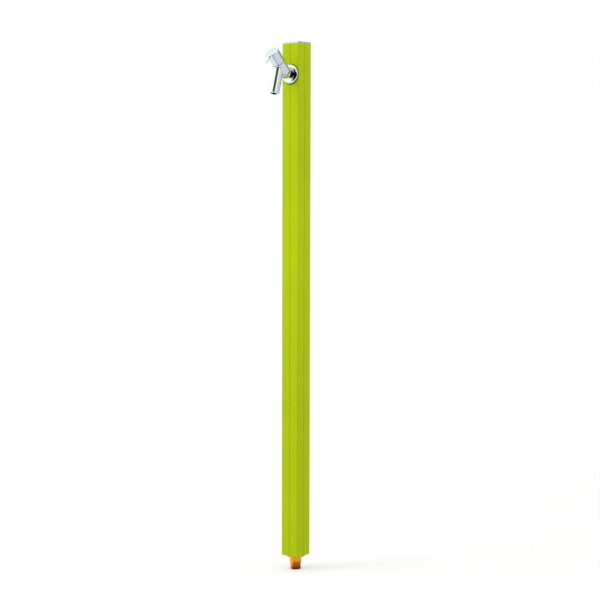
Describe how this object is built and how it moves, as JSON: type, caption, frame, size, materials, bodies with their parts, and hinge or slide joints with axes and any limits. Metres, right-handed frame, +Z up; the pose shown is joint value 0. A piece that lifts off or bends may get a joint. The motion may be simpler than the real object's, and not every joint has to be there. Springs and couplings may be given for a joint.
{
  "type": "garden standpipe",
  "caption": "Slim square garden water post with a flush cap, an angled quarter-turn tap with a pin lever near the top and a threaded inlet fitting underneath.",
  "frame": {"origin": "centre of the inlet thread's mouth, on the post's axis, at the very bottom of the inlet fitting", "axes": "+Z up along the post; the tap stands out of the front face towards -Y; +X is to the right seen from the front"},
  "size_m": [0.047, 0.1359, 1.2372],
  "materials": {
    "lime_paint": "smooth powder coat",
    "silver_cap": "satin anodised",
    "chrome_plate": "polished",
    "bronze_casting": "turned casting",
    "brass_inner": "machined",
    "stainless": "plain",
    "ceramic": "lapped",
    "black_rubber": "moulded",
    "red_fibre": "pressed fibre",
    "pipe_plastic": "extruded",
    "plug_plastic": "moulded",
    "white_foam": "expanded foam",
    "white_plastic": "moulded"
  },
  "bodies": {
    "standpipe": {"post_shell": "lime_paint", "top_cap": "silver_cap", "cap_screws": "stainless", "inlet_fitting": "bronze_casting", "base_plug": "plug_plastic", "lock_nut": "brass_inner", "riser_pipe": "pipe_plastic", "pipe_spacers": "white_foam", "faucet_elbow": "bronze_casting", "elbow_screws": "stainless", "wall_flange": "chrome_plate", "tap_body": "chrome_plate", "seat_seal": "black_rubber", "fixed_disc": "ceramic", "cartridge_housing": "brass_inner", "housing_gasket": "red_fibre", "thrust_washer": "white_plastic", "spout_tip": "chrome_plate", "tip_washer": "black_rubber", "flow_straightener": "white_plastic"},
    "handle": {"moving_disc": "ceramic", "spindle": "brass_inner", "spindle_o_rings": "black_rubber", "spindle_clip": "stainless", "handle_shell": "chrome_plate", "lever_pin": "chrome_plate", "handle_screw": "stainless"}
  },
  "joints": [
    {"name": "handle_turn", "type": "hinge", "parent": "standpipe", "child": "handle", "pos_m": [0, -0.0511, 1.1692], "axis": [0, -0.7071, 0.7071], "range_deg": [0, 90]}
  ]
}
